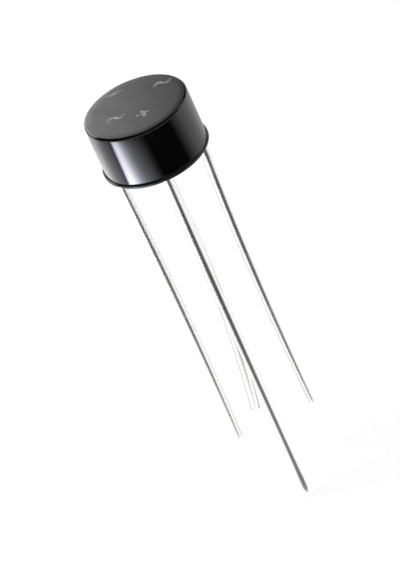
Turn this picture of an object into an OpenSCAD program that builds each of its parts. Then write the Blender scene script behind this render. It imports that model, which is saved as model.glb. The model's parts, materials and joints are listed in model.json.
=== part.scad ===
// Round bridge rectifier in a moulded case: four diode dice soldered between
// the coined ends of four leads, closed in one block of moulding compound.
// Frame: origin in the middle of the case's underside, +Z up to the flat top,
// leads down -Z on a square whose sides run along X and Y.

/* [Case] */
// Widest diameter of the case, over the rim at its foot
case_d = 9; // [8.8:0.1:9.8]
// Height of the case from its underside to its flat top
case_h = 4.8; // [4.4:0.1:5.6]
// How far the foot rim stands out from the wall
rim_out = 0.14; // [0.06:0.02:0.22]
// Height of the foot rim
rim_h = 0.4; // [0.35:0.05:0.8]
// Radius of the rounded edge under the foot rim
rim_edge_r = 0.12; // [0.04:0.02:0.2]
// Draft angle of the wall, which narrows it towards the top
wall_draft = 0.4; // [0:0.1:2]
// Radius of the edge between the wall and the top
top_edge_r = 0.2; // [0.1:0.05:0.5]

/* [Leads] */
// Side of the square that the leads stand on
pitch = 5.08; // [4.6:0.02:5.4]
// Diameter of the round lead wire
lead_d = 0.76; // [0.7:0.01:0.82]
// Thickness of the tin coat on the wire outside the case
tin_t = 0.01; // [0.005:0.005:0.02]
// How far the tinned wire reaches into the case
tin_in = 0.05; // [0.02:0.01:0.09]
// Length of the positive lead below the case
plus_l = 34.2; // [30:0.1:40]
// Length of the negative lead below the case
minus_l = 29; // [24:0.1:34]
// Length of the left AC lead below the case
left_l = 28.4; // [24:0.1:34]
// Length of the right AC lead below the case
right_l = 28; // [24:0.1:34]
// Radius of each lead's bend inside the case, at the middle of the wire
bend_r = 0.6; // [0.45:0.05:0.8]

/* [Set of the leads] */
// Straight run of an AC lead below the case, before it leans in
straight_l = 2; // [1:0.1:4]
// Radius of the tight bend that starts the lean, at the middle of the wire
lean_r = 0.9; // [0.6:0.1:1.2]
// Angle that the left AC lead leans in by
left_lean = 1.9; // [0.5:0.1:4]
// Radius on which the left AC lead curves back out
left_back_r = 440; // [200:10:800]
// Angle that the right AC lead leans in by
right_lean = 2.1; // [0.5:0.1:4]
// Radius on which the right AC lead curves back out
right_back_r = 380; // [200:10:800]
// Straight run of the negative lead below the case
minus_straight_l = 10; // [6:0.1:20]
// Radius on which the rest of the negative lead curves away to the left
minus_bow_r = 140; // [80:5:300]

/* [Coined ends] */
// Thickness of the flat, coined end of a lead
spade_t = 0.25; // [0.22:0.01:0.34]
// Gap between two coined ends that lie side by side
spade_gap = 0.8; // [0.4:0.05:1.2]
// Length over which the round wire goes over into the flat
coin_l = 0.6; // [0.4:0.05:0.8]
// Radius of the corners at the far end of the flat
spade_corner_r = 0.3; // [0.1:0.05:0.6]
// How far the flat runs on past the edge of the far die
spade_past = 0.25; // [0.1:0.05:0.4]

/* [Dice] */
// Side of a square silicon die
die_w = 1.5; // [1.2:0.05:1.8]
// Thickness of a die
die_t = 0.25; // [0.2:0.01:0.35]
// How far the bevelled rim of a die steps in on its anode side
bevel_in = 0.12; // [0.05:0.01:0.2]
// Depth of the bevelled rim of a die
bevel_t = 0.1; // [0.05:0.01:0.15]
// Thickness of a solder joint
solder_t = 0.05; // [0.03:0.01:0.08]
// How far a solder joint keeps in from the edge of the face it wets
solder_in = 0.05; // [0.02:0.01:0.1]

/* [Hidden] */

wire_fn = 48;
case_fn = 144;
arc_steps = 16;

rim_r = case_d / 2;
wall_r = rim_r - rim_out;

// Only the wire outside the case is tinned, so the wire inside is thinner.
bare_d = lead_d - 2 * tin_t;
// Coining keeps the wire's section, so the flat is as wide as its thickness allows.
spade_w = PI * pow(bare_d / 2, 2) / spade_t;
// Each flat passes the middle at this distance, so the four of them cross at the
// corners of a square, and each corner holds one die.
cross_at = (spade_w + spade_gap) / 2;
lead_at = pitch / sqrt(2);
lead_in = sqrt(pow(lead_at, 2) - pow(cross_at, 2));
// Angle between a flat and the line from its lead to the middle
swirl = asin(cross_at / lead_at);

spade_l = lead_in - bend_r + cross_at + die_w / 2 + spade_past;
level_gap = spade_t + die_t + 2 * solder_t;
lower_z = (case_h - level_gap) / 2;
upper_z = lower_z + level_gap;

// Directions of the leads from the middle of the case, seen from above
plus_dir = -45;
right_dir = 45;
minus_dir = 135;
left_dir = 225;

// Crossings, in the frame that the flats run along: name, place, anode side up
CROSSINGS = [
    ["plus_left", [1, 1], false],
    ["plus_right", [-1, 1], false],
    ["minus_right", [-1, -1], true],
    ["minus_left", [1, -1], true]
];

// Outline of the case: right half, with the axis at x = 0
module case_outline() {
    edge_z = case_h - top_edge_r;
    edge_x = wall_r - (edge_z - rim_h) * tan(wall_draft) - top_edge_r / cos(wall_draft);
    polygon([
        [0, 0],
        [rim_r - rim_edge_r, 0],
        [rim_r - rim_edge_r, rim_h],
        [wall_r, rim_h],
        [edge_x + top_edge_r * cos(wall_draft), edge_z + top_edge_r * sin(wall_draft)],
        [edge_x, edge_z],
        [edge_x, case_h],
        [0, case_h]
    ]);
    translate([edge_x, edge_z]) circle(r = top_edge_r, $fn = wire_fn);
    translate([rim_r - rim_edge_r, rim_edge_r]) circle(r = rim_edge_r, $fn = wire_fn);
    difference() {
        translate([wall_r - rim_edge_r, rim_edge_r])
            square([rim_r - wall_r + rim_edge_r, rim_h - rim_edge_r]);
        translate([rim_r, rim_h]) circle(r = rim_out, $fn = wire_fn);
    }
}

module case() {
    color([0.15, 0.15, 0.16])
    difference() {
        rotate_extrude($fn = case_fn) case_outline();
        lead_core(plus_dir, upper_z);
        lead_core(minus_dir, upper_z);
        lead_core(left_dir, lower_z);
        lead_core(right_dir, lower_z);
        for (direction = [plus_dir, minus_dir, left_dir, right_dir]) {
            lead_leg(direction, straight_l);
        }
        for (c = CROSSINGS) {
            die(c);
            solder_upper(c);
            solder_lower(c);
        }
    }
}

// Arc of wire of diameter d in the XZ plane, round the origin
module wire_arc(radius, start, angle, d) {
    rotate([90, 0, 0])
        rotate([0, 0, start])
            rotate_extrude(angle = angle, $fn = ceil(arc_steps * 360 / angle))
                translate([radius, 0]) circle(d = d, $fn = wire_fn);
}

// Tinned wire that leaves the origin down -Z and curves towards +X
module curve(radius, angle) {
    translate([radius, 0, 0]) wire_arc(radius, 180, angle, lead_d);
}

// Tinned wire that leaves the origin down -Z, leans towards +X and curves back
module lean_and_back(lean, back_r, back_l) {
    curve(lean_r, lean);
    translate([lean_r * (1 - cos(lean)), 0, -lean_r * sin(lean)])
        rotate([0, -lean, 0])
            mirror([1, 0, 0]) curve(back_r, back_l / back_r * 180 / PI);
}

// Flat end of a lead, along +X from the round wire at the origin: what two dies
// leave of the wire, flat above and below and bulged out at the sides
module spade() {
    half_w = spade_w / 2;
    intersection() {
        rotate([0, 90, 0]) rotate_extrude($fn = wire_fn) {
            polygon([
                [0, 0],
                [bare_d / 2, 0],
                [half_w, coin_l],
                [half_w, spade_l - spade_corner_r],
                [half_w - spade_corner_r, spade_l - spade_corner_r],
                [half_w - spade_corner_r, spade_l],
                [0, spade_l]
            ]);
            translate([half_w - spade_corner_r, spade_l - spade_corner_r])
                circle(r = spade_corner_r, $fn = wire_fn);
        }
        rotate([90, 0, 0]) linear_extrude(2 * spade_w, center = true)
            polygon([
                [0, -bare_d / 2],
                [coin_l, -spade_t / 2],
                [spade_l, -spade_t / 2],
                [spade_l, spade_t / 2],
                [coin_l, spade_t / 2],
                [0, bare_d / 2]
            ]);
    }
}

// What the case holds of a lead: bare wire up from the seating plane, a bend,
// and the flat end at height level_z
module lead_core(direction, level_z) {
    rise = level_z - bend_r;
    rotate([0, 0, direction]) translate([lead_at, 0, 0]) rotate([0, 0, 180 - swirl]) {
        cylinder(h = rise, d = bare_d, $fn = wire_fn);
        translate([bend_r, 0, rise]) wire_arc(bend_r, 90, 90, bare_d);
        translate([bend_r, 0, level_z]) spade();
    }
}

// Tinned straight of a lead, from just inside the case down. Its children are
// the rest of the wire, drawn from the lower end of the straight.
module lead_leg(direction, straight_l) {
    rotate([0, 0, direction]) translate([lead_at, 0, -straight_l]) {
        cylinder(h = straight_l + tin_in, d = lead_d, $fn = wire_fn);
        children();
    }
}

module lead_plus() {
    color([0.78, 0.79, 0.8]) {
        lead_leg(plus_dir, plus_l);
        lead_core(plus_dir, upper_z);
    }
}

module lead_minus() {
    bow_l = minus_l - minus_straight_l;
    color([0.78, 0.79, 0.8]) {
        lead_leg(minus_dir, minus_straight_l)
            rotate([0, 0, 90]) curve(minus_bow_r, bow_l / minus_bow_r * 180 / PI);
        lead_core(minus_dir, upper_z);
    }
}

module lead_ac_left() {
    color([0.78, 0.79, 0.8]) {
        lead_leg(left_dir, straight_l)
            rotate([0, 0, 180])
                lean_and_back(left_lean, left_back_r, left_l - straight_l);
        lead_core(left_dir, lower_z);
    }
}

module lead_ac_right() {
    color([0.78, 0.79, 0.8]) {
        lead_leg(right_dir, straight_l)
            rotate([0, 0, 180])
                lean_and_back(right_lean, right_back_r, right_l - straight_l);
        lead_core(right_dir, lower_z);
    }
}

// Puts its children at a crossing, turned to lie square on the flats
module at_crossing(c, z) {
    rotate([0, 0, plus_dir - swirl])
        translate([c[1][0] * cross_at, c[1][1] * cross_at, z]) children();
}

// Square die on z = 0 whose edge is bevelled round its upper face
module bevelled_die() {
    half = die_w / 2;
    side = [
        [-half, 0],
        [half, 0],
        [half, die_t - bevel_t],
        [half - bevel_in, die_t],
        [bevel_in - half, die_t],
        [-half, die_t - bevel_t]
    ];
    intersection() {
        rotate([90, 0, 0]) linear_extrude(2 * die_w, center = true) polygon(side);
        rotate([90, 0, 90]) linear_extrude(2 * die_w, center = true) polygon(side);
    }
}

module die(c) {
    anode_up = c[2];
    color([0.35, 0.37, 0.42])
        at_crossing(c, (lower_z + upper_z) / 2)
            mirror([0, 0, anode_up ? 0 : 1])
                translate([0, 0, -die_t / 2]) bevelled_die();
}

module solder_pad(on_anode) {
    pad_w = die_w - 2 * solder_in - (on_anode ? 2 * bevel_in : 0);
    translate([-pad_w / 2, -pad_w / 2, 0]) cube([pad_w, pad_w, solder_t]);
}

module solder_upper(c) {
    color([0.66, 0.67, 0.68])
        at_crossing(c, (lower_z + upper_z + die_t) / 2) solder_pad(c[2]);
}

module solder_lower(c) {
    color([0.66, 0.67, 0.68])
        at_crossing(c, (lower_z + upper_z - die_t) / 2 - solder_t) solder_pad(!c[2]);
}

case();
lead_plus();
lead_minus();
lead_ac_left();
lead_ac_right();
for (c = CROSSINGS) {
    die(c);
    solder_upper(c);
    solder_lower(c);
}
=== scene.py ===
# %% [markdown]
# # A round bridge rectifier
#
# This part turns alternating current into direct current. Four small dice of
# silicon sit between the flattened ends of four copper wires, and all of it is
# closed in one block of black moulding compound. From outside only the block
# and the four tinned leads show.
#
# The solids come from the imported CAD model. Blender keeps their places and
# gives them smooth surfaces, real finishes, light and a camera.

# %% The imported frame
import json
import math

import bmesh
import bpy
from mathutils import Matrix, Vector

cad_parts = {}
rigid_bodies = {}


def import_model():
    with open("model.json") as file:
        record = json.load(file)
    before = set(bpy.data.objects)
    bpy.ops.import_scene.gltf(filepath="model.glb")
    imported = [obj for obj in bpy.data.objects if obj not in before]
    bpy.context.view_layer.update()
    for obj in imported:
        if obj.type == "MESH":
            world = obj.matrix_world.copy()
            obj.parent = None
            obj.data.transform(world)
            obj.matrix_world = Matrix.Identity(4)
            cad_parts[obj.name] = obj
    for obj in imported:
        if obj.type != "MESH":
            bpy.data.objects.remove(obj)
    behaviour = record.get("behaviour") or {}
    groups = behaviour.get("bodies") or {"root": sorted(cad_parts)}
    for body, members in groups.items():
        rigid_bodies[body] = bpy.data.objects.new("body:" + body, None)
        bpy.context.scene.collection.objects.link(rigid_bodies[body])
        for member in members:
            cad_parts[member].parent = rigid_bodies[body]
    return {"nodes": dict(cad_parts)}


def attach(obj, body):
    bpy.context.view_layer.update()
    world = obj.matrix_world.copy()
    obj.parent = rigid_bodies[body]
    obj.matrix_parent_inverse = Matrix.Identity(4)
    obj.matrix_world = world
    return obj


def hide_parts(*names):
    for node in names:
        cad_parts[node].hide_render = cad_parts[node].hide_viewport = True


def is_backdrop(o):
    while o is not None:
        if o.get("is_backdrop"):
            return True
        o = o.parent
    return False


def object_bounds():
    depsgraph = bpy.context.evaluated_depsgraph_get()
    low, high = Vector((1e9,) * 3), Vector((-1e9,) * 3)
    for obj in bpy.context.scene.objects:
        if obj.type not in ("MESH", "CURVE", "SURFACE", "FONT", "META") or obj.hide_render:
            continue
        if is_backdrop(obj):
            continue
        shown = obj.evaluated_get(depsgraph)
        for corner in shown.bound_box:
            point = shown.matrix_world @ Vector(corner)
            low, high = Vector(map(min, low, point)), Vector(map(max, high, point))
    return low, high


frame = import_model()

scene = bpy.context.scene
cad_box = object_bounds()
print("CAD nodes:", len(frame["nodes"]))
print("CAD box:", [round(x * 1000, 2) for corner in cad_box for x in corner], "mm")

# %% [markdown]
# ## Sizes
#
# All sizes are written in millimetres, as a maker writes them, and one factor
# turns them to Blender's metres. The solids were made from the same sizes.

# %% Sizes in millimetres
MM = 0.001

CASE_D = 9
CASE_H = 4.8
RIM_OUT = 0.14
RIM_H = 0.4
RIM_TOP_Z = RIM_H - RIM_OUT
RIM_EDGE_R = 0.12
WALL_DRAFT = math.radians(0.4)
TOP_EDGE_R = 0.2

PITCH = 5.08
LEAD_D = 0.76
TIN_T = 0.01
TIN_IN = 0.05
BARE_D = LEAD_D - 2 * TIN_T
BEND_R = 0.6

SPADE_T = 0.25
SPADE_GAP = 0.8
COIN_L = 0.6
SPADE_CORNER_R = 0.3
SPADE_PAST = 0.25
DIE_W = 1.5
DIE_T = 0.25
SOLDER_T = 0.05

# %% [markdown]
# The places of the flat ends follow from these sizes. A flat end keeps the
# wire's section, so its thickness gives its width. The four ends swirl round
# the middle, and each pair of them crosses over one die.

# %% Places that follow from the sizes
SPADE_W = math.pi * (BARE_D / 2) ** 2 / SPADE_T
CROSS_AT = (SPADE_W + SPADE_GAP) / 2
LEAD_AT = PITCH / math.sqrt(2)
LEAD_IN = math.sqrt(LEAD_AT**2 - CROSS_AT**2)
SWIRL = math.asin(CROSS_AT / LEAD_AT)
SPADE_L = LEAD_IN - BEND_R + CROSS_AT + DIE_W / 2 + SPADE_PAST
LEVEL_GAP = SPADE_T + DIE_T + 2 * SOLDER_T
LOWER_Z = (CASE_H - LEVEL_GAP) / 2
UPPER_Z = LOWER_Z + LEVEL_GAP
print(f"flat ends {SPADE_W:.2f} mm wide, at z {LOWER_Z:.2f} and {UPPER_Z:.2f} mm")

# %% [markdown]
# ## Building node trees
#
# Geometry Nodes and materials are both trees of nodes. They could be drawn by
# hand in the node editor, but text is easier to change and to read again. One
# small function adds a node of any kind, sets its options, and either links or
# sets each input. Most nodes are added for their first output, so a second
# function gives that, and a few more name the nodes that come up most.

# %% One function for every node
def add(tree, kind, inputs=None, **settings):
    made = tree.nodes.new(kind)
    for name, value in settings.items():
        setattr(made, name, value)
    for key, value in (inputs or {}).items():
        if isinstance(value, bpy.types.NodeSocket):
            tree.links.new(value, made.inputs[key])
        else:
            made.inputs[key].default_value = value
    return made


def first(tree, kind, inputs=None, **settings):
    return add(tree, kind, inputs, **settings).outputs[0]


def number(tree, operation, *values):
    return first(tree, "ShaderNodeMath", dict(enumerate(values)), operation=operation)


def split(tree, vector):
    return add(tree, "ShaderNodeSeparateXYZ", {"Vector": vector}).outputs


def join(tree, x, y, z):
    return first(tree, "ShaderNodeCombineXYZ", {"X": x, "Y": y, "Z": z})


# %% [markdown]
# A Geometry Nodes tree needs its inputs declared, and each tree here ends the
# same way: loose copies become real mesh, and the mesh gets its material.
#
# Smooth shading makes a coarse mesh look round, but it smears light over real
# corners. So every face is smooth, and the edges that turn by more than a given
# angle are marked sharp.

# %% Start, shading and end of a geometry tree
def new_geometry_tree(title, inputs):
    tree = bpy.data.node_groups.new(title, "GeometryNodeTree")
    socket = tree.interface.new_socket
    socket("Geometry", in_out="INPUT", socket_type="NodeSocketGeometry")
    for name, kind in inputs.items():
        socket(name, in_out="INPUT", socket_type="NodeSocket" + kind)
    socket("Geometry", in_out="OUTPUT", socket_type="NodeSocketGeometry")
    return tree, add(tree, "NodeGroupInput").outputs


def shade(tree, geometry, sharp_from):
    angle = first(tree, "GeometryNodeInputMeshEdgeAngle")
    smooth = first(tree, "GeometryNodeSetShadeSmooth", {
        "Geometry": geometry, "Shade Smooth": True,
    }, domain="FACE")
    return first(tree, "GeometryNodeSetShadeSmooth", {
        "Geometry": smooth,
        "Selection": number(tree, "GREATER_THAN", angle, math.radians(sharp_from)),
        "Shade Smooth": False,
    }, domain="EDGE")


def close_tree(tree, geometry, material):
    plain = first(tree, "GeometryNodeRealizeInstances", {"Geometry": geometry})
    painted = first(tree, "GeometryNodeSetMaterial", {"Geometry": plain, "Material": material})
    add(tree, "NodeGroupOutput", {"Geometry": painted})
    print(f"{tree.name}: {len(tree.nodes)} nodes")
    return tree


# %% [markdown]
# A Geometry Nodes modifier is a recipe, and what the part needs is the dish.
# The next function hangs a tree on an object, gives its inputs their values by
# their identifiers, takes the finished mesh and throws the recipe away.

# %% From a tree to a plain mesh
def cook(name, source_mesh, tree, values):
    start = bpy.data.objects.new(name + "_start", source_mesh)
    scene.collection.objects.link(start)
    modifier = start.modifiers.new("nodes", "NODES")
    modifier.node_group = tree
    for item in tree.interface.items_tree:
        if item.in_out == "INPUT" and item.name in values:
            modifier[item.identifier] = values[item.name]
    ready = start.evaluated_get(bpy.context.evaluated_depsgraph_get())
    mesh = bpy.data.meshes.new_from_object(ready)
    start.modifiers.remove(modifier)
    bpy.data.objects.remove(start)
    mesh.name = name
    mesh.materials.clear()
    mesh.materials.append(values["Material"])
    mesh.polygons.foreach_set("material_index", [0] * len(mesh.polygons))
    made = bpy.data.objects.new(name, mesh)
    scene.collection.objects.link(made)
    print(f"{name}: {len(mesh.vertices)} points, {len(mesh.polygons)} faces")
    return made


# %% [markdown]
# The trees start from a line of points. A mesh of edges can carry a number on
# each point, such as the wire's radius there, which the tree reads by its name.

# %% A line of points with numbers on them
def line_mesh(name, points, closed=False, **attributes):
    mesh = bpy.data.meshes.new(name)
    edges = [(i, i + 1) for i in range(len(points) - 1)]
    if closed:
        edges.append((len(points) - 1, 0))
    mesh.from_pydata([Vector(p) * MM for p in points], edges, [])
    for key, values in attributes.items():
        layer = mesh.attributes.new(key, "FLOAT", "POINT")
        layer.data.foreach_set("value", [v * MM for v in values])
    return mesh


# %% [markdown]
# ## Colours
#
# Paint makers and screens give colours as sRGB hex values. The renderer counts
# light, so each value is turned to linear once, here.

# %% Hex colours to linear light
def linear(hex_colour):
    parts = [int(hex_colour[i : i + 2], 16) / 255 for i in (1, 3, 5)]
    light = [p / 12.92 if p <= 0.04045 else ((p + 0.055) / 1.055) ** 2.4 for p in parts]
    return (*light, 1)


WHITE = linear("#FFFFFF")
print("light in a middle grey:", round(linear("#808080")[0], 3))

# %% [markdown]
# Every material below starts empty and ends at an output. Patterns are placed
# by Object coordinates, which are metres on the piece itself. An image could
# carry them too, but it would blur close up, and noise of a true size doesn't.
# The grain of a noise is written in millimetres, and most of a noise lies within
# the span below.

# %% Parts that materials share
NOISE_SPAN = (0.3, 0.7)


def new_material(name):
    material = bpy.data.materials.new(name)
    material.use_nodes = True
    material.node_tree.nodes.clear()
    return material, material.node_tree


def object_place(tree):
    return add(tree, "ShaderNodeTexCoord").outputs["Object"]


def finish_material(material, shader, *panels):
    add(material.node_tree, "ShaderNodeOutputMaterial", {"Surface": shader})
    for panel in panels:
        panel.data.materials.append(material)
    print(f"{material.name}: {len(material.node_tree.nodes)} nodes")
    return material


def remap(tree, value, start, stop, low=0, high=1, **settings):
    return first(tree, "ShaderNodeMapRange", {
        "Value": value, "From Min": start, "From Max": stop, "To Min": low, "To Max": high,
    }, **settings)


def noise(tree, place, grain, detail, roughness=0.5):
    return first(tree, "ShaderNodeTexNoise", {
        "Vector": place, "Scale": 1 / (grain * MM), "Detail": detail, "Roughness": roughness,
    })


# %% [markdown]
# The rest go from one colour, number or shader to another. A bump tilts the
# light on a surface without moving it, and one bump can lie on another.

# %% Mixes and bumps
def mix_colour(tree, share, low, high):
    mixed = add(tree, "ShaderNodeMix", {"Factor": share, 6: low, 7: high}, data_type="RGBA")
    return mixed.outputs[2]


def mix_number(tree, share, low, high):
    return first(tree, "ShaderNodeMix", {"Factor": share, 2: low, 3: high}, data_type="FLOAT")


def principled(tree, inputs):
    return first(tree, "ShaderNodeBsdfPrincipled", inputs)


def mix_shader(tree, share, low, high):
    return first(tree, "ShaderNodeMixShader", {0: share, 1: low, 2: high})


def bump(tree, height, strength, depth, under=None, **settings):
    inputs = {"Height": height, "Strength": strength, "Distance": depth * MM}
    if under is not None:
        inputs["Normal"] = under
    return first(tree, "ShaderNodeBump", inputs, **settings)


# %% [markdown]
# ## Moulded epoxy
#
# The block is epoxy filled with quartz powder and soot, pressed into a steel
# mould. The wall slides out of polished steel and comes off glossy. The top is
# left by a blasted mould face, so it is satin, with a fine grit of about
# 0.12 mm and faint clouds where the filler lies unevenly. The thin flash at the
# foot is broken off, which leaves it dull.
#
# Three materials on three sets of faces would have hard borders. One material
# that reads the height of each point has soft ones.

# %% Where the satin top and the dull foot begin
SATIN_FROM, SATIN_FULL = 0.02 * TOP_EDGE_R, 0.002 * TOP_EDGE_R
FLASH_ABOVE, FLASH_BELOW = 0.02, 0.01


def top_and_foot(tree, place):
    height = split(tree, place)["Z"]
    top = remap(tree, height, (CASE_H - SATIN_FROM) * MM, (CASE_H - SATIN_FULL) * MM)
    foot = remap(tree, height, (RIM_TOP_Z + FLASH_ABOVE) * MM, (RIM_TOP_Z - FLASH_BELOW) * MM)
    return top, foot


print(f"satin above {CASE_H - SATIN_FROM:.3f} mm, dull below {RIM_TOP_Z:.2f} mm")

# %% [markdown]
# Blasting also wore the mould near its corner, so the outer ring of the top rolls
# off softly. Only the shading of that shows, so a bump that grows with the
# distance from the axis is enough.

# %% The worn shoulder of the top
SHOULDER_R = 3.6
SHOULDER_DROP = 0.13


def shoulder(tree, place):
    flat = first(tree, "ShaderNodeVectorMath", {0: place, 1: (1, 1, 0)}, operation="MULTIPLY")
    out = add(tree, "ShaderNodeVectorMath", {0: flat}, operation="LENGTH")
    past = remap(tree, out.outputs["Value"], SHOULDER_R * MM, CASE_D / 2 * MM)
    return bump(tree, number(tree, "POWER", past, 2), 1, SHOULDER_DROP, invert=True)


print(f"shoulder from {SHOULDER_R} to {CASE_D / 2} mm out, {SHOULDER_DROP} mm deep")

# %% [markdown]
# The wall is nearly black and smooth, with a roughness of 0.1. The satin face
# scatters more light, so it is both paler and rougher, and its clouds vary the
# two together. The grit is kept to the top by tying its strength to the height.

# %% Black moulded epoxy
CLOUD, GRIT, GRIT_DEPTH, GRIT_STRENGTH = 1.6, 0.12, 0.012, 0.5
WALL_ROUGH, FLASH_ROUGH, SATIN_ROUGH = 0.1, 0.42, (0.35, 0.48)


def black_epoxy():
    material, tree = new_material("moulded_black_epoxy")
    place = object_place(tree)
    top, foot = top_and_foot(tree, place)
    clouds = noise(tree, place, CLOUD, 5, 0.65)
    cloudy = remap(tree, clouds, *NOISE_SPAN)
    satin_tone = mix_colour(tree, cloudy, linear("#19191A"), linear("#2B2B2C"))
    satin_rough = remap(tree, clouds, *NOISE_SPAN, *SATIN_ROUGH)
    above_flash = mix_number(tree, top, WALL_ROUGH, satin_rough)
    grit = noise(tree, place, GRIT, 3, 0.7)
    grit_strength = number(tree, "MULTIPLY", top, GRIT_STRENGTH)
    shader = principled(tree, {
        "Base Color": mix_colour(tree, top, linear("#060606"), satin_tone),
        "Roughness": mix_number(tree, foot, above_flash, FLASH_ROUGH),
        "Normal": bump(tree, grit, grit_strength, GRIT_DEPTH, under=shoulder(tree, place)),
        "IOR": 1.5,
    })
    return finish_material(material, shader)


EPOXY = black_epoxy()

# %% [markdown]
# ## Tinned copper wire
#
# The leads are drawn copper wire, dipped in tin after moulding. Drawing leaves
# hair-fine lines along the wire, and hot tin flows over them and comes out
# bright, with slight waves. Inside the block the copper stays bare.
#
# Two materials would need a border in the mesh, and one needs none. The drawn
# lines are noise stretched along the wire, and the height of a point says
# whether it is tin or copper.

# %% Bright tin over copper
DRAWN_LINE, DRAWN_STRETCH, DRAWN_DEPTH, DRAWN_STRENGTH = 0.06, 0.04, 0.004, 0.08
TIN_WAVE, TIN_ROUGH = 1.5, (0.28, 0.35)


def tinned_wire():
    material, tree = new_material("tinned_copper_wire")
    place = object_place(tree)
    inside = number(tree, "GREATER_THAN", split(tree, place)["Z"], TIN_IN * MM)
    along = first(tree, "ShaderNodeMapping", {
        "Vector": place, "Scale": (1, 1, DRAWN_STRETCH),
    })
    drawn = noise(tree, along, DRAWN_LINE, 2)
    waves = noise(tree, place, TIN_WAVE, 3)
    tin = add(tree, "ShaderNodeValToRGB", {"Fac": waves})
    tin.color_ramp.elements[0].color = linear("#EDEDEC")
    tin.color_ramp.elements[1].color = linear("#F5F5F4")
    shader = principled(tree, {
        "Base Color": mix_colour(tree, inside, tin.outputs["Color"], linear("#D99A7C")),
        "Metallic": 1.0,
        "Roughness": remap(tree, waves, *NOISE_SPAN, *TIN_ROUGH),
        "Normal": bump(tree, drawn, DRAWN_STRENGTH, DRAWN_DEPTH),
    })
    return finish_material(material, shader)


TIN = tinned_wire()

# %% [markdown]
# ## Silicon, solder and ink
#
# A silicon die is ground flat and reflects like a dark blue-grey mirror. It is
# no metal, but not far from one, so it is metallic by a little over a half. The
# grinding marks vary its tone and its gloss.

# %% Silicon
MARK, MARK_ROUGH = 0.12, (0.2, 0.4)


def ground_silicon():
    material, tree = new_material("ground_silicon")
    marks = noise(tree, object_place(tree), MARK, 4)
    shader = principled(tree, {
        "Base Color": mix_colour(tree, marks, linear("#4A4F5C"), linear("#666C7A")),
        "Metallic": 0.6,
        "Roughness": remap(tree, marks, 0, 1, *MARK_ROUGH),
    })
    return finish_material(material, shader)


SILICON = ground_silicon()

# %% [markdown]
# Soft solder is a dull grey metal. It sets with a coarse skin, and the same
# noise gives the skin its shades and its bumps, so that the two agree.

# %% Solder
SKIN, SKIN_DEPTH, SKIN_STRENGTH, SOLDER_ROUGH = 0.15, 0.01, 0.3, 0.35


def soft_solder():
    material, tree = new_material("soft_solder")
    skin = noise(tree, object_place(tree), SKIN, 5)
    shader = principled(tree, {
        "Base Color": mix_colour(tree, skin, linear("#A9ABAD"), linear("#C9CBCD")),
        "Metallic": 1.0,
        "Roughness": SOLDER_ROUGH,
        "Normal": bump(tree, skin, SKIN_STRENGTH, SKIN_DEPTH),
    })
    return finish_material(material, shader)


SOLDER = soft_solder()

# %% [markdown]
# The signs on the top are pale ink pressed into shallow marks, and much of it
# has worn away. Holes in the ink could be cut out of the mesh. It is simpler to
# let the colour fall back towards that of the block in blots.

# %% Worn ink
BLOT, BLOT_EDGES, INK_ROUGH = 0.35, (0.38, 0.62), 0.55


def worn_ink():
    material, tree = new_material("worn_marking_ink")
    wear = noise(tree, object_place(tree), BLOT, 4, 0.65)
    left = remap(tree, wear, *BLOT_EDGES)
    shader = principled(tree, {
        "Base Color": mix_colour(tree, left, linear("#444445"), linear("#969694")),
        "Roughness": INK_ROUGH,
    })
    return finish_material(material, shader)


INK = worn_ink()

# %% [markdown]
# ## Leads
#
# Each lead is one piece of round wire. Inside the block it bends over and its
# end is coined: squeezed to a flat, wide tongue that a die can be soldered to.
# Outside it runs down, and hands have bent three of the four a little.
#
# A Bezier curve with a round bevel would do for the wire, but not for the flat.
# A sweep in Geometry Nodes does both: a circle follows the wire's path, and
# each point of the path carries its own radius. The flat is the same sweep with
# its height held between two planes, which is what the coining tool does.
#
# Outside the case, a lead is a few runs. Each run is a length and the angle
# that the wire turns through on it.

# %% The path of a wire outside the case
STEP = 0.5


def walk(runs):
    out, down, heading = 0.0, 0.0, 0.0
    points = [(out, down)]
    for length, turn in runs:
        steps = max(1, math.ceil(length / STEP)) if turn else 1
        for _ in range(steps):
            heading += turn / steps / 2
            out += math.sin(heading) * length / steps
            down -= math.cos(heading) * length / steps
            heading += turn / steps / 2
            points.append((out, down))
    return points


# %% [markdown]
# The positive lead is straight. The negative one is straight at first and then
# bows. The AC leads are pushed inwards near the case and come back slowly, so
# one function gives the runs of both.
#
# A lead is kept as its direction from the middle of the case, the way that it
# bends to, counted from that direction, the height of its flat end, and its
# runs.

# %% Runs of the four leads
PLUS_L, MINUS_L, LEFT_L, RIGHT_L = 34.2, 29, 28.4, 28
STRAIGHT_L, MINUS_STRAIGHT_L = 2, 10
MINUS_BOW_R, LEFT_BACK_R, RIGHT_BACK_R = 140, 440, 380
LEAN_R, LEFT_LEAN, RIGHT_LEAN = 0.9, math.radians(1.9), math.radians(2.1)
BOW_L = MINUS_L - MINUS_STRAIGHT_L


def leaning(length, lean, back_r):
    back_l = length - STRAIGHT_L
    return [(STRAIGHT_L, 0), (LEAN_R * lean, lean), (back_l, -back_l / back_r)]


LEADS = {
    "lead_plus": (-45, 0, UPPER_Z, [(PLUS_L, 0)]),
    "lead_minus": (135, 90, UPPER_Z, [(MINUS_STRAIGHT_L, 0), (BOW_L, BOW_L / MINUS_BOW_R)]),
    "lead_ac_left": (225, 180, LOWER_Z, leaning(LEFT_L, LEFT_LEAN, LEFT_BACK_R)),
    "lead_ac_right": (45, 180, LOWER_Z, leaning(RIGHT_L, RIGHT_LEAN, RIGHT_BACK_R)),
}
for node, lead in LEADS.items():
    print(f"{node}: {sum(run[0] for run in lead[3]):.1f} mm long")

# %% [markdown]
# A point of the path is a row of three: its place, the wire's radius there, and
# the half thickness that the wire is held to. A wire that is held to far more
# than its radius is free.
#
# The cut tip gets a small round, as the shears and the tin leave it.

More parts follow.
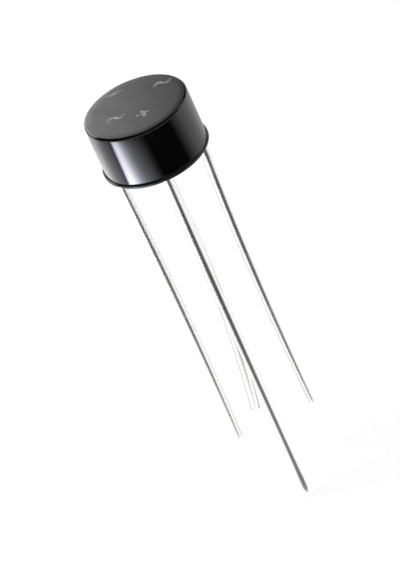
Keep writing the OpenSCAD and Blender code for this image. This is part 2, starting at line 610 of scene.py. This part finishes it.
# %% The leg of one lead, from the tip up
UP = Vector((0, 0, 1))
FREE = 2 * PLUS_L
TIP_R = 0.06
TIP_ANGLES = (0, 30, 60, 90)


def leg_rows(foot, side, runs):
    outside = walk(runs)
    end, before = Vector(outside[-1]), Vector(outside[-2])
    back = (before - end).normalized()
    rows = []
    for a in map(math.radians, TIP_ANGLES):
        out, down = end + back * TIP_R * (1 - math.cos(a))
        radius = LEAD_D / 2 - TIP_R * (1 - math.sin(a))
        rows.append((foot + side * out + UP * down, radius, FREE))
    for out, down in reversed(outside[:-1]):
        rows.append((foot + side * out + UP * down, LEAD_D / 2, FREE))
    return rows


# %% [markdown]
# Inside, the tin ends in a tiny step just above the foot of the case. The bare
# wire rises, turns through a right angle and widens as it gets flatter. The
# corners of the tongue are round.

# %% The bent and coined end of one lead
TIN_STEP_L = 0.002
BEND_STEPS, COIN_STEPS = 12, 6
CORNER_ANGLES = range(0, 91, 15)


def coined_rows(foot, inward, level):
    rows = [
        (foot + UP * TIN_IN, LEAD_D / 2, FREE),
        (foot + UP * (TIN_IN + TIN_STEP_L), BARE_D / 2, FREE),
    ]
    rise = level - BEND_R
    for step in range(BEND_STEPS + 1):
        a = math.radians(90 * step / BEND_STEPS)
        at = foot + inward * BEND_R * (1 - math.cos(a)) + UP * (rise + BEND_R * math.sin(a))
        rows.append((at, BARE_D / 2, FREE))
    for step in range(1, COIN_STEPS + 1):
        s = COIN_L * step / COIN_STEPS
        radius = BARE_D / 2 + (SPADE_W - BARE_D) / 2 * (s / COIN_L)
        half = BARE_D / 2 + (SPADE_T - BARE_D) / 2 * (s / COIN_L)
        rows.append((foot + inward * (BEND_R + s) + UP * level, radius, half))
    for a in map(math.radians, CORNER_ANGLES):
        s = SPADE_L - SPADE_CORNER_R * (1 - math.sin(a))
        radius = SPADE_W / 2 - SPADE_CORNER_R * (1 - math.cos(a))
        rows.append((foot + inward * (BEND_R + s) + UP * level, radius, SPADE_T / 2))
    return rows


# %% [markdown]
# The two halves meet at the foot of the case. The leg bends sideways from
# there, and the flat end points past the middle by the angle of the swirl.

# %% The whole path of one lead
def flat_direction(angle):
    return Vector((math.cos(angle), math.sin(angle), 0))


def lead_path(direction, bend_to, level, runs):
    direction, bend_to = math.radians(direction), math.radians(bend_to)
    foot = flat_direction(direction) * LEAD_AT
    side = flat_direction(direction + bend_to)
    inward = flat_direction(direction + math.pi - SWIRL)
    return leg_rows(foot, side, runs) + coined_rows(foot, inward, level)


print("points on the longest path:", max(len(lead_path(*lead)) for lead in LEADS.values()))

# %% [markdown]
# The tree for a wire sweeps the circle along the path. Then it holds the height
# of each point to the half thickness that its ring carries.

# %% Geometry Nodes: a swept and coined wire
WIRE_SHARP = 35


def wire_tree():
    tree, given = new_geometry_tree("Drawn wire with a coined end", {
        "Level": "Float", "Sides": "Int", "Material": "Material",
    })
    path = first(tree, "GeometryNodeMeshToCurve", {"Mesh": given["Geometry"]})
    circle = first(tree, "GeometryNodeCurvePrimitiveCircle", {
        "Resolution": given["Sides"], "Radius": 1.0,
    })
    swept = first(tree, "GeometryNodeCurveToMesh", {
        "Curve": path,
        "Profile Curve": circle,
        "Scale": first(tree, "GeometryNodeInputNamedAttribute", {"Name": "wire_radius"}),
        "Fill Caps": True,
    })
    half = first(tree, "GeometryNodeInputNamedAttribute", {"Name": "half_thickness"})
    place = split(tree, first(tree, "GeometryNodeInputPosition"))
    held = first(tree, "ShaderNodeClamp", {
        "Value": place["Z"],
        "Min": number(tree, "SUBTRACT", given["Level"], half),
        "Max": number(tree, "ADD", given["Level"], half),
    })
    coined = first(tree, "GeometryNodeSetPosition", {
        "Geometry": swept, "Position": join(tree, place["X"], place["Y"], held),
    })
    return close_tree(tree, shade(tree, coined, WIRE_SHARP), given["Material"])


WIRE = wire_tree()

# %% [markdown]
# One tree makes all four wires. Forty sides are enough for a round edge close
# up.

# %% The four leads
WIRE_SIDES = 40
leads = {}
for node, lead in LEADS.items():
    rows = lead_path(*lead)
    path = line_mesh(
        node + "_path",
        [row[0] for row in rows],
        wire_radius=[row[1] for row in rows],
        half_thickness=[row[2] for row in rows],
    )
    leads[node] = cook(node.replace("lead", "wire"), path, WIRE, {
        "Level": lead[2] * MM, "Sides": WIRE_SIDES, "Material": TIN,
    })

# %% [markdown]
# ## Signs
#
# The top tells which lead is which: plus, minus, and a wave for each AC lead.
# A hot stamp presses them 0.03 mm into the face and leaves pale ink in them.
#
# A text object could write them in a font. These strokes have one width and
# round ends, as an engraved stamp gives, so each sign is an outline of its own:
# a line with a band round it, or a cross with four arms.

# %% A band round a line
STROKE_W = 0.3
HALF_W = STROKE_W / 2
ROUND_END = [math.radians(a) for a in (-90, -54, -18, 18, 54, 90)]


def round_end(x, y, a, turns):
    return [(x + math.cos(a + t) * HALF_W, y + math.sin(a + t) * HALF_W) for t in turns]


def line_end(before, end):
    a = math.atan2(end[1] - before[1], end[0] - before[0])
    return round_end(*end, a, ROUND_END[1:-1])


def band(line):
    left, right = [], []
    for i, (x, y) in enumerate(line):
        x0, y0 = line[max(i - 1, 0)]
        x1, y1 = line[min(i + 1, len(line) - 1)]
        a = math.atan2(y1 - y0, x1 - x0)
        left.append((x - math.sin(a) * HALF_W, y + math.cos(a) * HALF_W))
        right.append((x + math.sin(a) * HALF_W, y - math.cos(a) * HALF_W))
    return right + line_end(line[-2], line[-1]) + left[::-1] + line_end(line[1], line[0])


# %% [markdown]
# A wave with a broad stroke has a limit: where it bends more tightly than half
# the stroke's width, the inner side of the band would cross itself, and such a
# punch can't be cut out of anything. The swing is chosen below that limit.

# %% Outlines of the signs
PLUS_ARM, MINUS_HALF = 0.6, 0.55
WAVE_L, WAVE_SWING, WAVE_STEPS = 1.35, 0.3, 16


def cross(arm):
    points = []
    for quarter in range(4):
        a = quarter * math.pi / 2
        corner = a + math.pi / 4
        reach, notch = arm - HALF_W, STROKE_W / math.sqrt(2)
        points += round_end(math.cos(a) * reach, math.sin(a) * reach, a, ROUND_END)
        points.append((math.cos(corner) * notch, math.sin(corner) * notch))
    return points


def wave(length, swing):
    return band([
        (length * (i / WAVE_STEPS - 0.5), swing * math.sin(2 * math.pi * i / WAVE_STEPS))
        for i in range(WAVE_STEPS + 1)
    ])


bend_r = (WAVE_L / math.tau) ** 2 / WAVE_SWING
print(f"tightest bend {bend_r:.3f} mm, half stroke {HALF_W:.3f} mm")

# %% [markdown]
# Each sign has a place on the top, in shares of its radius: across, and nearer
# to the reader. All of them are turned the same way, as one stamp prints them.

# %% Places of the signs
TOP_R = CASE_D / 2 - RIM_OUT
READ_X, READ_Y = 0.685, 0.729
SIGN_TURN = math.radians(52)
SIGNS = {
    "plus": (cross(PLUS_ARM), (0.08, 0.34)),
    "minus": (band([(-MINUS_HALF, 0), (0, 0), (MINUS_HALF, 0)]), (-0.23, -0.74)),
    "ac_left": (wave(WAVE_L, WAVE_SWING), (-0.4, 0.1)),
    "ac_right": (wave(WAVE_L, WAVE_SWING), (0.63, -0.38)),
}


def on_top(outline, across, near):
    middle_x = TOP_R * (READ_X * across + READ_Y * near)
    middle_y = TOP_R * (READ_Y * across - READ_X * near)
    cosine, sine = math.cos(SIGN_TURN), math.sin(SIGN_TURN)
    return [
        (middle_x + x * cosine - y * sine, middle_y + x * sine + y * cosine, 0)
        for x, y in outline
    ]


print("points of the signs:", {sign: len(outline) for sign, (outline, _) in SIGNS.items()})

# %% [markdown]
# One tree fills an outline and gives it depth. It serves twice: for the punch
# that cuts the mark, and for the ink that lies in it. The extruded face leaves
# the bottom open, so a flipped copy of the face closes it.

# %% Geometry Nodes: a filled sign with depth
SIGN_MERGE = 0.001


def sign_tree():
    tree, given = new_geometry_tree("Stamped sign", {
        "Floor": "Float", "Depth": "Float", "Material": "Material",
    })
    line = first(tree, "GeometryNodeMeshToCurve", {"Mesh": given["Geometry"]})
    filled = first(tree, "GeometryNodeFillCurve", {"Curve": line}, mode="NGONS")
    placed = first(tree, "GeometryNodeSetPosition", {
        "Geometry": filled, "Offset": join(tree, 0, 0, given["Floor"]),
    })
    raised = first(tree, "GeometryNodeExtrudeMesh", {
        "Mesh": placed,
        "Offset": join(tree, 0, 0, given["Depth"]),
        "Offset Scale": 1.0,
        "Individual": False,
    })
    base = first(tree, "GeometryNodeFlipFaces", {"Mesh": placed})
    both = add(tree, "GeometryNodeJoinGeometry", {"Geometry": raised})
    tree.links.new(base, both.inputs["Geometry"])
    closed = first(tree, "GeometryNodeMergeByDistance", {
        "Geometry": both.outputs[0], "Distance": SIGN_MERGE * MM,
    })
    return close_tree(tree, closed, given["Material"])


STAMP = sign_tree()

# %% [markdown]
# The punch reaches well above the face, so that the cut has no skin left over
# it. The ink fills two thirds of the mark.

# %% The four signs, as punches and as ink
SIGN_DEPTH = 0.03
INK_T = 0.02
PUNCH_OVER = 0.2
punches, inks = [], []
for sign, (outline, spot) in SIGNS.items():
    for made, name, depth in (
        (punches, "punch_", SIGN_DEPTH + PUNCH_OVER), (inks, "ink_", INK_T)
    ):
        line = line_mesh(name + sign, on_top(outline, *spot), closed=True)
        made.append(cook(name + sign, line, STAMP, {
            "Floor": (CASE_H - SIGN_DEPTH) * MM, "Depth": depth * MM, "Material": INK,
        }))

# %% [markdown]
# ## The moulded block
#
# The block is round, so its shape follows one rule: an outline turned round an
# axis. From the axis at the foot, the outline goes out over the flat underside
# and round the edge of the rim. A small fillet leads up to the wall, which
# leans in by a fraction of a degree so that the mould can let go. The top edge
# is round.
#
# Points set close beside each round keep the flat faces flat in the shading.

# %% Outline of the block
KEEP = 0.03
RING = 0.5
EASE_LOW, EASE_IN, EASE_HIGH = 0.015, 0.006, 0.004
RIM_STEPS, EDGE_STEPS = 8, 14
FILLET_FROM, FILLET_TO = 262, 180


def arc(cx, cz, radius, start, stop, steps):
    turns = [math.radians(start + (stop - start) * i / steps) for i in range(steps + 1)]
    return [(cx + radius * math.cos(a), cz + radius * math.sin(a)) for a in turns]


def block_outline():
    rim_r = CASE_D / 2
    wall_r = rim_r - RIM_OUT
    edge_z = CASE_H - TOP_EDGE_R
    draft = math.tan(WALL_DRAFT)
    edge_x = wall_r - (edge_z - RIM_H) * draft - TOP_EDGE_R / math.cos(WALL_DRAFT)
    return [
        (0, 0),
        (RING * rim_r, 0),
        (rim_r - RIM_EDGE_R - KEEP, 0),
        *arc(rim_r - RIM_EDGE_R, RIM_EDGE_R, RIM_EDGE_R, -90, 0, RIM_STEPS),
        (rim_r, RIM_TOP_Z - EASE_LOW),
        (rim_r - EASE_IN, RIM_TOP_Z - EASE_HIGH),
        *arc(rim_r, RIM_H, RIM_OUT, FILLET_FROM, FILLET_TO, RIM_STEPS),
        (wall_r - KEEP * draft, RIM_H + KEEP),
        (edge_x + TOP_EDGE_R + KEEP * draft, edge_z - KEEP),
        *arc(edge_x, edge_z, TOP_EDGE_R, 0, 90, EDGE_STEPS),
        (edge_x - KEEP, CASE_H),
        (RING * edge_x, CASE_H),
        (0, CASE_H),
    ]


print("points of the outline:", len(block_outline()))

# %% [markdown]
# A Screw modifier could turn the outline too. A grid does it within the tree
# that also cuts the block. Each of its points looks up a point of the outline
# by its row and turns it round by its column. Points that fall together, at the
# seam and on the axis, are merged.

# %% Geometry Nodes: turn an outline round the axis
TURN_MERGE = 0.0005


def turn_round(tree, line, segments):
    size = add(tree, "GeometryNodeAttributeDomainSize", {"Geometry": line})
    count = size.outputs["Point Count"]
    grid = first(tree, "GeometryNodeMeshGrid", {
        "Vertices X": number(tree, "ADD", segments, 1), "Vertices Y": count,
    })
    index = first(tree, "GeometryNodeInputIndex")
    column = number(tree, "FLOOR", number(tree, "DIVIDE", index, count))
    outline = split(tree, first(tree, "GeometryNodeSampleIndex", {
        "Geometry": line,
        "Value": first(tree, "GeometryNodeInputPosition"),
        "Index": number(tree, "MODULO", index, count),
    }, data_type="FLOAT_VECTOR"))
    angle = number(tree, "MULTIPLY", number(tree, "DIVIDE", column, segments), math.tau)
    x = number(tree, "MULTIPLY", outline["X"], number(tree, "COSINE", angle))
    y = number(tree, "MULTIPLY", outline["X"], number(tree, "SINE", angle))
    turned = first(tree, "GeometryNodeSetPosition", {
        "Geometry": grid, "Position": join(tree, x, y, outline["Z"]),
    })
    return first(tree, "GeometryNodeMergeByDistance", {
        "Geometry": turned, "Distance": TURN_MERGE * MM,
    })


# %% [markdown]
# The compound flowed round the wires, dice and solder, so everything inside the
# block is cut out of it, and the signs are cut into its top. A boolean does
# that. The manifold solver is quick and exact, and it asks for closed meshes.

# %% Geometry Nodes: cut pieces out of the turned block
BLOCK_SHARP = 32


def block_tree():
    tree, given = new_geometry_tree("Turned and cut block", {
        "Segments": "Int", "Cutters": "Collection", "Material": "Material",
    })
    turned = turn_round(tree, given["Geometry"], given["Segments"])
    inside = first(tree, "GeometryNodeCollectionInfo", {"Collection": given["Cutters"]})
    pieces = first(tree, "GeometryNodeRealizeInstances", {"Geometry": inside})
    cut = first(tree, "GeometryNodeMeshBoolean", {
        "Mesh 1": turned, "Mesh 2": pieces,
    }, operation="DIFFERENCE", solver="MANIFOLD")
    return close_tree(tree, shade(tree, cut, BLOCK_SHARP), given["Material"])


MOULD = block_tree()

# %% [markdown]
# The dice and the solder keep their CAD shapes. Their meshes are loose
# triangles, so the cutters are copies whose points have been merged.

# %% Everything that lies in the block
DICE = [n for n in frame["nodes"] if n.startswith("die_")]
JOINTS = [n for n in frame["nodes"] if n.startswith("solder_")]


def merged_copy(node):
    mesh = frame["nodes"][node].data.copy()
    work = bmesh.new()
    work.from_mesh(mesh)
    bmesh.ops.remove_doubles(work, verts=work.verts, dist=TURN_MERGE * MM)
    work.to_mesh(mesh)
    work.free()
    return bpy.data.objects.new("cutter_" + node, mesh)


cutters = bpy.data.collections.new("cutters")
scene.collection.children.link(cutters)
for piece in [*leads.values(), *punches, *(merged_copy(n) for n in DICE + JOINTS)]:
    cutters.objects.link(piece)

# %% [markdown]
# The round is drawn with 192 segments, so that no corner shows along its edge.
# Once the block is cut, the punches and the copies are removed.

# %% The block
SEGMENTS = 192
outline = [(r, 0, z) for r, z in block_outline()]
block = cook("moulded_block", line_mesh("block_outline", outline), MOULD, {
    "Segments": SEGMENTS, "Cutters": cutters, "Material": EPOXY,
})
for piece in list(cutters.objects):
    cutters.objects.unlink(piece)
    if not piece.users_collection:
        bpy.data.objects.remove(piece)
bpy.data.collections.remove(cutters)
for punch in punches:
    bpy.data.objects.remove(punch)

# %% [markdown]
# ## Names and finishes
#
# Every piece rides on the one body of this part. The smooth pieces stand for
# the solids that they replace, and the dice and solder stay as they are, with
# a material of their own.

# %% Place in the model
for nodes, material in ((DICE, SILICON), (JOINTS, SOLDER)):
    for node in nodes:
        frame["nodes"][node].data.materials.clear()
        frame["nodes"][node].data.materials.append(material)

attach(block, "root")
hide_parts("case")
for node, wire in leads.items():
    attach(wire, "root")
    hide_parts(node)
for ink in inks:
    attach(ink, "root")
print("pieces:", 1 + len(leads) + len(inks), "and CAD nodes kept:", len(DICE + JOINTS))

# %% [markdown]
# ## Camera
#
# A long lens from well above the part, turned a little about its own line of
# sight, so that the leads run down to the right.
#
# A constraint could aim the camera, but it would keep the horizon level. Three
# directions at right angles make its matrix instead: to the right, up, and
# back towards the lens.

# %% Directions of the camera
AZIMUTH, ELEVATION, ROLL = (math.radians(a) for a in (46.78, 32.80, -24.43))
back = Vector((
    math.sin(AZIMUTH) * math.cos(ELEVATION),
    -math.cos(AZIMUTH) * math.cos(ELEVATION),
    math.sin(ELEVATION),
))
right = Vector((math.cos(AZIMUTH), math.sin(AZIMUTH), 0))
up = back.cross(right)
rolled_x = right * math.cos(ROLL) + up * math.sin(ROLL)
rolled_y = up * math.cos(ROLL) - right * math.sin(ROLL)
print("towards the camera:", [round(x, 3) for x in back])

# %% [markdown]
# The long focal length keeps the leads almost parallel. Colours go to the
# screen by the standard transform, so that they come out as they are written.

# %% Camera
TARGET = Vector((1.292, -2.782, -11.134)) * MM
DISTANCE = 278.3 * MM
FOCAL_L, SENSOR_W, NEAREST = 218.34, 36, 0.01

lens = bpy.data.cameras.new("camera")
lens.lens = FOCAL_L
lens.sensor_width = SENSOR_W
lens.clip_start = NEAREST
camera = bpy.data.objects.new("camera", lens)
camera.matrix_world = Matrix((rolled_x, rolled_y, back)).transposed().to_4x4()
camera.matrix_world.translation = TARGET + back * DISTANCE
scene.collection.objects.link(camera)
scene.camera = camera
scene.view_settings.view_transform = "Standard"
print("camera at", [round(x / MM, 1) for x in camera.matrix_world.translation], "mm")

# %% [markdown]
# ## Floor and world
#
# The part stands on the tip of its longest lead, on a white floor under a white
# sky. More light would make them white as well, but it would also wash out the
# part. So they glow only for rays that come from the camera or from a mirror.
#
# The stage is made of plain panels. Those that only shape reflections are hidden
# from the camera, give no light and throw no shadow.

# %% Panels, and a glow for seen rays
def glow_for_seen_rays(tree):
    path = add(tree, "ShaderNodeLightPath").outputs
    either = number(tree, "MAXIMUM", path["Is Camera Ray"], path["Is Glossy Ray"])
    return number(tree, "MAXIMUM", either, path["Is Transmission Ray"])


def glow(tree, colour, strength):
    return first(tree, "ShaderNodeEmission", {"Color": colour, "Strength": strength})


def corners(half, low, high):
    return (-half, low), (half, low), (half, high), (-half, high)


def stage_panel(name, points, faces, mirrors_only=True):
    mesh = bpy.data.meshes.new(name)
    mesh.from_pydata(points, [], faces)
    made = bpy.data.objects.new(name, mesh)
    scene.collection.objects.link(made)
    if mirrors_only:
        made.visible_camera = made.visible_diffuse = made.visible_shadow = False
    made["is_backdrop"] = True
    print(f"{name}: {len(points)} points")
    return made


# %% [markdown]
# The floor is six metres wide, so its edge lies out of sight. It glows by four
# fifths and takes the rest as real light, which leaves the part's shadow on it.
# From below it is clear, so the part can be looked at from there.

# %% White floor
FLOOR_Z = -PLUS_L
FLOOR_HALF = 3000
FLOOR_GLOW, GLOW_SHARE = 1.03, 0.8
floor = stage_panel("floor", [
    (x * MM, y * MM, FLOOR_Z * MM)
    for x, y in corners(FLOOR_HALF, -FLOOR_HALF, FLOOR_HALF)
], [(0, 1, 2, 3)], mirrors_only=False)
material, tree = new_material("white_floor")
matt = first(tree, "ShaderNodeBsdfDiffuse", {"Color": linear("#F4F4F4")})
share = number(tree, "MULTIPLY", glow_for_seen_rays(tree), GLOW_SHARE)
surface = mix_shader(tree, share, matt, glow(tree, WHITE, FLOOR_GLOW))
clear = first(tree, "ShaderNodeBsdfTransparent")
from_below = add(tree, "ShaderNodeNewGeometry").outputs["Backfacing"]
finish_material(material, mix_shader(tree, from_below, surface, clear), floor)

# %% [markdown]
# The sky is seen at full white and lights the part at four fifths of it, a
# plain level at which colours keep their values.

# %% White sky
SKY_SEEN, SKY_LIGHT = 1.0, 0.8
world = bpy.data.worlds.new("white_sky")
scene.world = world
world.use_nodes = True
tree = world.node_tree
tree.nodes.clear()
seen, light = (
    first(tree, "ShaderNodeBackground", {"Color": WHITE, "Strength": strength})
    for strength in (SKY_SEEN, SKY_LIGHT)
)
sky = mix_shader(tree, glow_for_seen_rays(tree), light, seen)
add(tree, "ShaderNodeOutputWorld", {"Surface": sky})
print("sky seen at", SKY_SEEN, "and lighting at", SKY_LIGHT)

# %% [markdown]
# ## Light
#
# Glossy black shows nothing but reflections, so the light is built from what
# the wall and the wires mirror. A picture of a studio wrapped round the world
# could give them, but each streak has its own place here, so cards give more
# control.
#
# A card like a funnel stands round the part, below the level of the top. Angles
# on it count from the camera's side. It is built from facets of two degrees.

# %% Funnel of cards round the part
level_front = Vector((back.x, back.y, 0)).normalized()
front = math.atan2(back.y, back.x)
CARD_FOOT_R, CARD_FOOT_Z = 4.4, FLOOR_Z + 0.1
CARD_RIM_R, CARD_RIM_Z = 28, -7.1
BACK_RIM_R, BACK_RIM_Z = 90, 3
FACET = 2


def card_round_part(name, rows, first, last):
    steps = round((last - first) / FACET)
    turns = [front + math.radians(first + (last - first) * i / steps) for i in range(steps + 1)]
    points = [
        (math.cos(a) * r * MM, math.sin(a) * r * MM, z * MM) for a in turns for r, z in rows
    ]
    faces = [(2 * i, 2 * i + 1, 2 * i + 3, 2 * i + 2) for i in range(steps)]
    return stage_panel(name, points, faces)


foot_row, rim_row = (CARD_FOOT_R, CARD_FOOT_Z), (CARD_RIM_R, CARD_RIM_Z)
card = card_round_part("graded_card", [foot_row, rim_row], -180, 180)
card_behind = card_round_part("card_behind", [rim_row, (BACK_RIM_R, BACK_RIM_Z)], 90, 270)

# %% [markdown]
# A colour ramp turns a position into a shade. Its stops are pairs of a position
# and a level of light, and the ramp holds shares of the brightest one. The
# bright strip is a touch cooler than the rest, as daylight is.

# %% A ramp of light levels
COOL = linear("#EEF0FF")


def graded(tree, value, grade, unit, cool=(0, 0)):
    first, last = grade[0][0], grade[-1][0]
    ramp = add(tree, "ShaderNodeValToRGB", {
        "Fac": remap(tree, value, first * unit, last * unit),
    })
    brightest = max(level for _, level in grade)
    for i, (x, level) in enumerate(grade):
        spot = (x - first) / (last - first)
        stop = ramp.color_ramp.elements[i] if i < 2 else ramp.color_ramp.elements.new(spot)
        stop.position = spot
        hue = COOL if cool[0] < x < cool[1] else WHITE
        stop.color = [level / brightest * c for c in hue[:3]] + [1]
    print(f"graded: {len(grade)} stops from {first} to {last}, brightest {brightest}")
    return ramp.outputs["Color"], brightest


# %% [markdown]
# The upper part of the card is what the wall mirrors: a bright strip at the
# left with a sharp edge, fading to black in the middle and rising to white at
# the right. Black epoxy mirrors only about a twenty-fifth of what it faces, so
# the levels go far above one, and nothing but mirrors sees them.

# %% Levels that the wall mirrors
WALL_GRADE = [
    (-180, 2.5), (-171, 3.2), (-169, 0.5), (-147, 1.4), (-137, 1.95), (-128, 2.25),
    (-119, 2.2), (-110, 1.85), (-100, 1.65), (-90, 1.7), (-82, 1.1), (-78, 0.8),
    (-77, 14), (-70, 23), (-66, 23), (-60, 17.5), (-50, 8.6), (-46, 6.6), (-40, 4.0),
    (-30, 2.4), (-20, 1.25), (-10, 0.35), (-2, 0), (54, 0), (62, 0.3), (70, 0.55),
    (80, 0.9), (90, 1.03), (120, 0.96), (137, 0.84), (165, 0.4), (180, 2.5),
]
HEIGHT_GRADE = [
    (-12.6, 1.3), (-10.4, 0.85), (-9.6, 0.75), (-8.65, 0.7), (-8.35, 0.22), (-7, 0.15),
]
COOL_SPAN = (-96, -29)
LEAN_FROM, LEAN_TO, LEAN_PER_MM, LEAN_Z = -76, -58, 2, -11.1
LEFT_FROM, LEFT_FULL = 20, -20
DEGREE = math.radians(1)

material, tree = new_material("graded_card")
place_round = first(tree, "ShaderNodeVectorRotate", {
    "Vector": object_place(tree), "Angle": -front,
}, rotation_type="Z_AXIS")
parts = split(tree, place_round)
angle = number(tree, "ARCTAN2", parts["Y"], parts["X"])
print("stops for the wall:", len(WALL_GRADE), "round it and", len(HEIGHT_GRADE), "up it")

# %% [markdown]
# Round the part, the position is the angle, which the arc tangent gives. The
# fading side of the strip leans, so its angle is shifted a little with height.
# On the left the card also gets darker towards its rim, so that the streak on
# the wall fades upwards.

# %% Glow for the wall
above = number(tree, "ADD", parts["Z"], -LEAN_Z * MM)
lean = remap(
    tree, angle, LEAN_FROM * DEGREE, LEAN_TO * DEGREE, 0, LEAN_PER_MM * DEGREE / MM
)
shifted = number(tree, "MULTIPLY_ADD", above, lean, angle)
wall_shade, wall_level = graded(tree, shifted, WALL_GRADE, DEGREE, COOL_SPAN)
height_shade, height_level = graded(tree, parts["Z"], HEIGHT_GRADE, MM)
left_side = remap(tree, angle, LEFT_FROM * DEGREE, LEFT_FULL * DEGREE)
fade = mix_number(tree, left_side, 1 / height_level, height_shade)
strength = number(tree, "MULTIPLY", fade, wall_level * height_level)
wall_glow = glow(tree, wall_shade, strength)

# %% [markdown]
# The lower part is for the wires. It is white with one dark band, which draws
# the dark line down each wire. Its white is only as strong as it takes to show
# tin as white. More would clip, and hide the edges of the wire.
#
# The band gets narrower and turns a little towards the floor, where the card
# comes close to the wires.

# %% Dark band for the wires
WIRE_GRADE = [
    (-180, 1.2), (-58, 1.2), (-50, 1.05), (-42, 0.6), (-28, 0.12), (-14, 0.06),
    (25, 0.06), (40, 0.12), (53, 0.5), (62, 1.1), (71, 1.2), (180, 1.2),
]
LOWER_TOP_Z, UPPER_FOOT_Z = -14, -13
NARROW_POWER, NARROW_BY, BAND_TURN = 3, 2.7, 9

depth = remap(tree, parts["Z"], LOWER_TOP_Z * MM, FLOOR_Z * MM)
near = number(tree, "POWER", depth, NARROW_POWER)
narrow = mix_number(tree, near, 1.0, NARROW_BY)
turn = number(tree, "MULTIPLY", depth, BAND_TURN * DEGREE)
narrowed = number(tree, "MULTIPLY_ADD", angle, narrow, turn)
wire_shade, wire_level = graded(tree, narrowed, WIRE_GRADE, DEGREE)

# %% [markdown]
# Behind the part the lower card is dark as well. It gives the wires a dark line
# from the back too, and the camera sees only a faint edge of it. A little even
# glow near the floor keeps the line from turning black at the tips.

# %% Glow for the wires, and the whole card
BACK_FROM, BACK_FULL, BACK_LEFT = 136, 154, 0.03
FOOT_RISE, FOOT_GLOW, FOOT_SHARE = 14, 1.0, 0.14

behind = remap(
    tree, number(tree, "ABSOLUTE", angle), BACK_FROM * DEGREE, BACK_FULL * DEGREE,
    wire_level, BACK_LEFT * wire_level,
)
foot = remap(
    tree, parts["Z"], FLOOR_Z * MM, (FLOOR_Z + FOOT_RISE) * MM, FOOT_SHARE, 0,
    interpolation_type="SMOOTHSTEP",
)
lower = mix_shader(tree, foot, glow(tree, wire_shade, behind), glow(tree, WHITE, FOOT_GLOW))
upper_part = remap(
    tree, parts["Z"], LOWER_TOP_Z * MM, UPPER_FOOT_Z * MM, interpolation_type="SMOOTHSTEP"
)
whole = mix_shader(tree, upper_part, lower, wall_glow)
finish_material(material, whole, card, card_behind)

# %% [markdown]
# The very end of the long lead mirrors the floor beside it. Half a bright disc
# lies there, so the sides of the wire stay white down to the tip.

# %% Half disc at the tip
DISC_STEPS, DISC_LIFT, DISC_GLOW = 24, 0.05, 1.4
turns = [front + math.radians(-90 + 180 * i / DISC_STEPS) for i in range(DISC_STEPS + 1)]
tip_disc = stage_panel("tip_disc", [
    (math.cos(a) * CARD_FOOT_R * MM, math.sin(a) * CARD_FOOT_R * MM, (FLOOR_Z + DISC_LIFT) * MM)
    for a in turns
], [tuple(range(DISC_STEPS + 1))])
material, tree = new_material("tip_disc")
finish_material(material, glow(tree, WHITE, DISC_GLOW), tip_disc)

# %% [markdown]
# A tall dark curtain stands further out on the camera's side. It draws the dark
# line along the upper edge, as a dim room does.

# %% Dark curtain
CURTAIN_R, CURTAIN_TOP = 600, 3000
CURTAIN_FROM, CURTAIN_TO = -142, 85
curtain = card_round_part(
    "dark_curtain", [(CURTAIN_R, FLOOR_Z), (CURTAIN_R, CURTAIN_TOP)], CURTAIN_FROM, CURTAIN_TO
)
material, tree = new_material("black_velvet")
cloth = first(tree, "ShaderNodeBsdfDiffuse", {"Color": linear("#0A0A0A")})
finish_material(material, cloth, curtain)

# %% [markdown]
# The satin top mirrors a small board close behind the part. It is bright at its
# lower left and nearly black at its right and its top, so the top face fades
# the same way. The position on its ramp is the way to the right, which a
# projection on that direction gives.

# %% Board behind the part
BOARD_AWAY, BOARD_HALF, BOARD_LOW, BOARD_HIGH = 15, 40, 5.2, 70
board = stage_panel("board_behind", [
    (right * x - level_front * BOARD_AWAY + Vector((0, 0, z))) * MM
    for x, z in corners(BOARD_HALF, BOARD_LOW, BOARD_HIGH)
], [(0, 1, 2, 3)])

BOARD_GRADE = [(-40, 1.0), (-26, 3.5), (-8, 3.3), (0, 1.6), (8, 0.15), (40, 0.02)]
FADE_FROM, FADE_TO, FADE_LEFT = 16, 28, 0.05

material, tree = new_material("board_behind")
place = object_place(tree)
along = add(tree, "ShaderNodeVectorMath", {
    0: place, 1: right,
}, operation="DOT_PRODUCT").outputs["Value"]
board_shade, board_level = graded(tree, along, BOARD_GRADE, MM)
strength = remap(
    tree, split(tree, place)["Z"], FADE_FROM * MM, FADE_TO * MM,
    board_level, FADE_LEFT * board_level,
)
finish_material(material, glow(tree, board_shade, strength), board)

# %% [markdown]
# One large soft lamp stands high on the left. It casts the shadow on the floor.
# A small lamp would give the same light with a hard edge to the shadow. It is
# hidden from mirrors, which have the cards.

# %% Soft lamp
LAMP_RIGHT, LAMP_FRONT, LAMP_UP = -280, -60, 300
LAMP_SIZE, LAMP_POWER = 250, 0.6

lamp = bpy.data.lights.new("soft_lamp", "AREA")
lamp.shape = "DISK"
lamp.size = LAMP_SIZE * MM
lamp.energy = LAMP_POWER
soft_lamp = bpy.data.objects.new("soft_lamp", lamp)
lamp_place = (right * LAMP_RIGHT + level_front * LAMP_FRONT + UP * LAMP_UP) * MM
soft_lamp.location = lamp_place
soft_lamp.rotation_euler = (-lamp_place).to_track_quat("-Z", "Y").to_euler()
soft_lamp.visible_camera = soft_lamp.visible_glossy = False
scene.collection.objects.link(soft_lamp)
print("lamp at", [round(x / MM) for x in lamp_place], "mm")

# %% [markdown]
# ## Size
#
# The finished model should fill the same box as the solids, so both boxes are printed.

# %% Boxes of the solids and of the finished model
shown_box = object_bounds()
for name, box in (("CAD", cad_box), ("shown", shown_box)):
    print(name, [round(x / MM, 3) for corner in box for x in corner], "mm")
